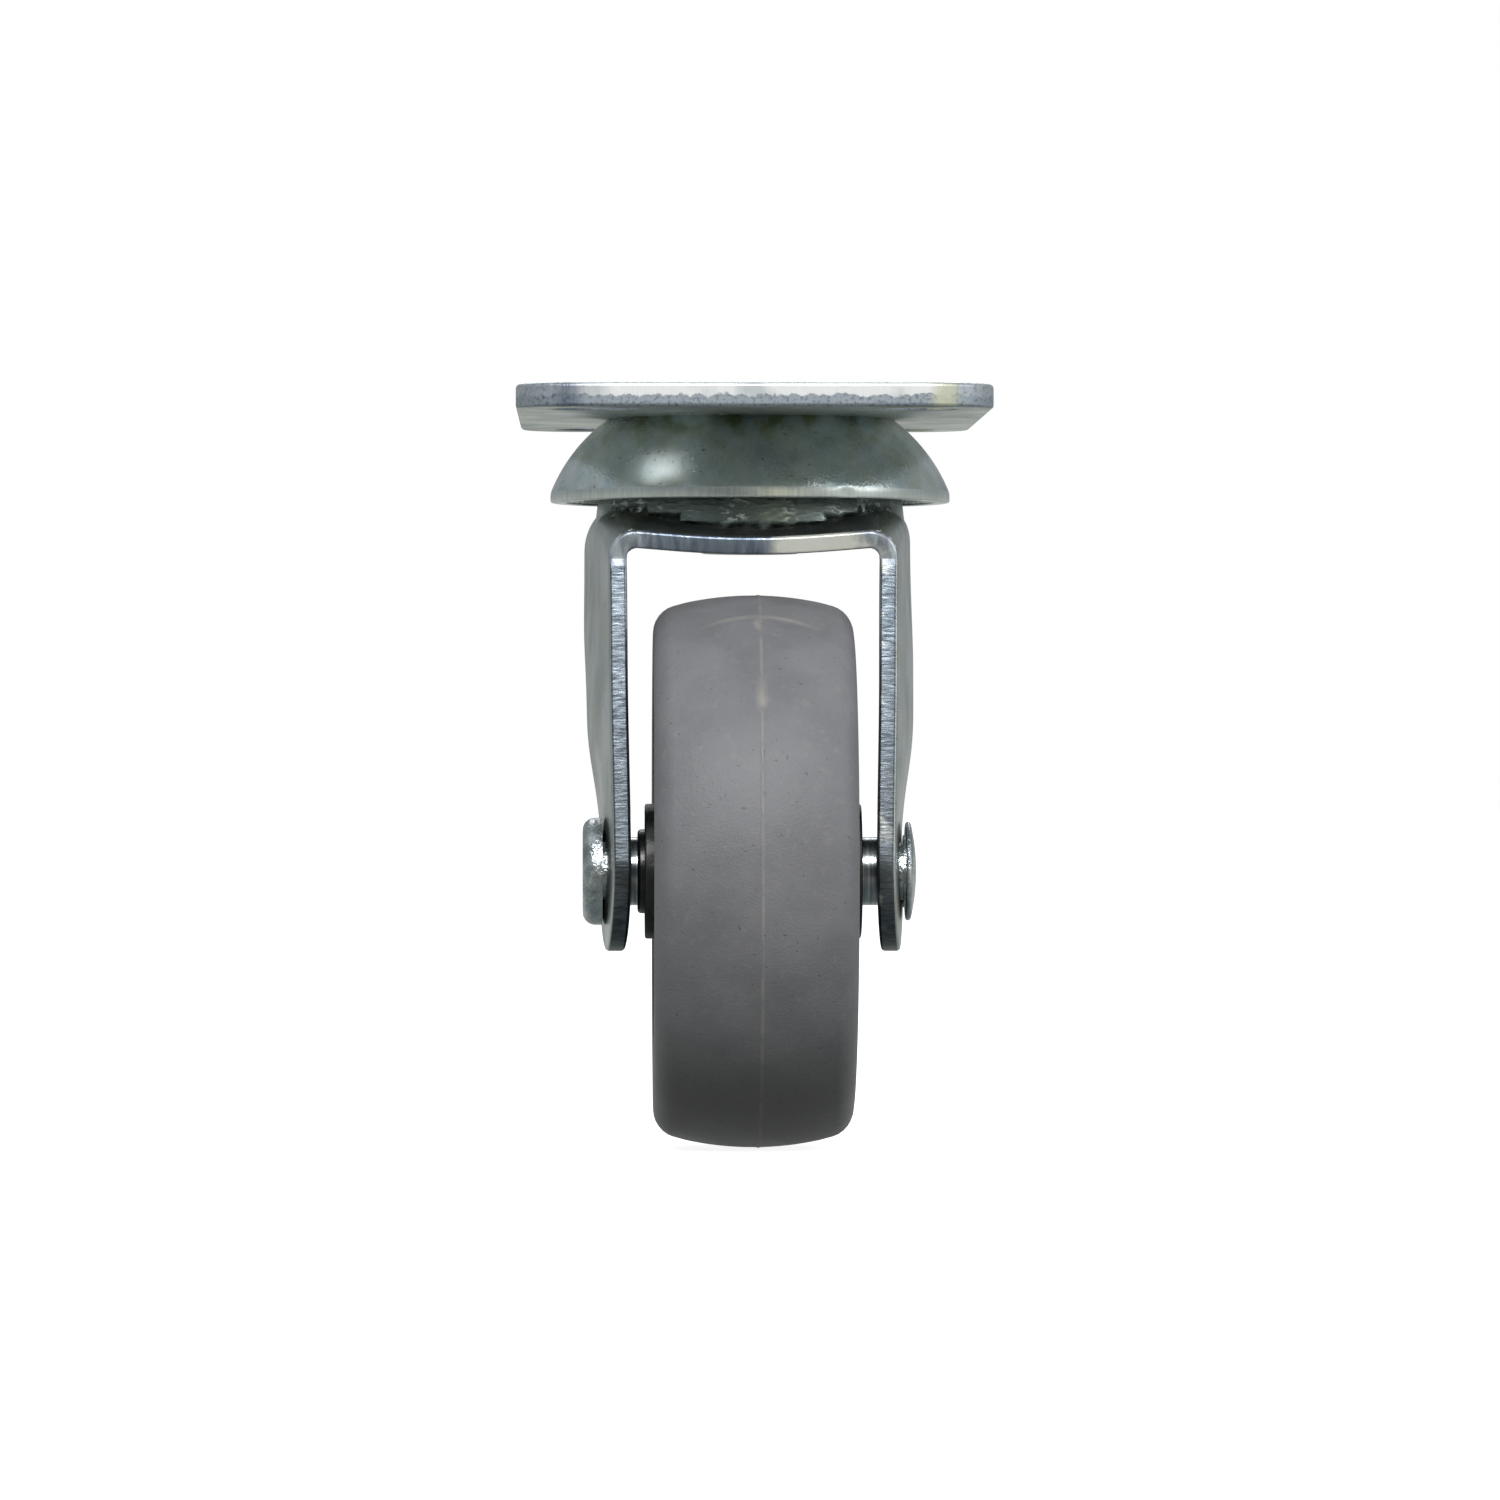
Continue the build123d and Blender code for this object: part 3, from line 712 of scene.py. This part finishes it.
def makeTread():
    look = treadSet
    half = look["width"] / 2
    crown = look["radius"] - look["flashHeight"]
    edgeR = look["radius"] - look["sag"]
    arc = arcPoints((-half, edgeR), (0, crown), (half, edgeR), look["arcSteps"])
    # a thread of flash stands where the mould's halves met
    p, w = look["parting"], look["flashWidth"] / 2
    # no points right beside the flash, nor where the shoulder is rounded
    surface = [s for s in arc if abs(s[0] - p) > look["flashClear"]
               and not half - look["shoulderClear"] < abs(s[0]) < half - 0.01]
    left = [s for s in surface if s[0] < p]
    right = [s for s in surface if s[0] > p]
    flash = [(p - 1.5 * w, crown), (p - 0.5 * w, look["radius"]),
             (p + 0.5 * w, look["radius"]), (p + 1.5 * w, crown)]
    profile = left + flash + right + [(half, look["inner"]), (-half, look["inner"])]
    bm = turned(profile, "X", look["steps"])
    shoulders = ringEdges(bm, "X", -half, edgeR) + ringEdges(bm, "X", half, edgeR)
    softenEdges(bm, shoulders, look["shoulderMm"], 6)
    bores = ringEdges(bm, "X", -half, look["inner"]) + ringEdges(bm, "X", half, look["inner"])
    softenEdges(bm, bores, look["innerRoundMm"], 2)
    finishPiece("rubberTyre", bm, "wheel",
                [mouldedRubber("greyMouldedRubber", look["rubber"])], ["wheel_tread"], look["sharpDeg"])


coreSet = {"softMm": 0.3, "plastic": {"dark": "0d0e0e", "light": "171818", "dustAmount": 0.25,
                                      "roughLow": 0.36, "roughHigh": 0.5}}


def makeCore():
    bm = copyOfNode("wheel_core")
    softenEdges(bm, cornerEdges(bm), coreSet["softMm"], 2)
    finishPiece("wheelCentre", bm, "wheel",
                [mouldedNylon("blackMouldedCore", coreSet["plastic"])], ["wheel_core"])


bushSet = {"softMm": 0.5, "plastic": {"dark": "0a0b0b", "light": "141515", "dustAmount": 0.12,
                                      "roughLow": 0.3, "roughHigh": 0.42}}


def makeBush():
    bm = copyOfNode("hub_sleeve")
    softenEdges(bm, cornerEdges(bm), bushSet["softMm"], 3)
    finishPiece("hubBush", bm, "wheel",
                [mouldedNylon("blackTurnedBush", bushSet["plastic"])], ["hub_sleeve"])


rivetSet = {"steps": 96, "seatX": 20.7, "shank": 4.0, "headR": 7.4, "headMm": 2.75, "headRoundMm": 1.7,
            "neckR": 5.0, "neckMm": 0.3, "domeR": 6.8, "domeEdgeMm": 0.7, "domeMm": 1.5, "domeRoundMm": 0.3,
            "domeSteps": 8, "sharpDeg": 40,
            "steel": {"light": "b9bfc1", "dark": "8d9496", "pit": "2c3133", "roughLow": 0.2,
                      "roughHigh": 0.34, "reliefMm": 0.12}}


def makeRivet(steel):
    look = rivetSet
    x, domeX = look["seatX"], look["seatX"] + look["neckMm"]
    dome = arcPoints((domeX + look["domeEdgeMm"], look["domeR"]),
                     (domeX + look["domeMm"] - (look["domeMm"] - look["domeEdgeMm"]) / 4, look["domeR"] / 2),
                     (domeX + look["domeMm"], 0), look["domeSteps"])
    profile = dome + [(-x - look["headMm"], 0), (-x - look["headMm"], look["headR"]), (-x, look["headR"]),
                      (-x, look["shank"]), (x, look["shank"]), (x, look["neckR"]), (domeX, look["neckR"]),
                      (domeX, look["domeR"])]
    bm = turned(profile, "X", look["steps"])
    softenEdges(bm, ringEdges(bm, "X", -x - look["headMm"], look["headR"]), look["headRoundMm"], 5)
    domeRims = ringEdges(bm, "X", domeX, look["domeR"]) + ringEdges(bm, "X", *dome[0])
    softenEdges(bm, domeRims, look["domeRoundMm"], 2)
    finishPiece("axleRivet", bm, "fork_body", [steel], ["axle_rivet"], look["sharpDeg"])


tubeSet = {"ringMm": 0.3, "light": "b2b7ba", "dark": "7f8589", "stain": "6f675f", "roughLow": 0.14,
           "roughHigh": 0.3, "reliefMm": 0.02}


plate = makePlate()
letThrough(spark, plate)
makeHood()
makeFork()
makeTread()
makeCore()
makeBush()
rivetSteel = formedRivetHead("zincOnUpsetRivet", rivetSet["steel"])
makeRivet(rivetSteel)
dress("kingpin", rivetSteel)
dress("axle_sleeve", turnedSteel("burnishedTube", tubeSet))
dress("lower_race", zincPlatedSteel("zincOnRaceCup", forkSet["wall"]))
ballSteel = groundBallSteel("greasedBallSteel")
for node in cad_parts:
    if "_ball_" in node:
        dress(node, ballSteel)
print("finishes set")
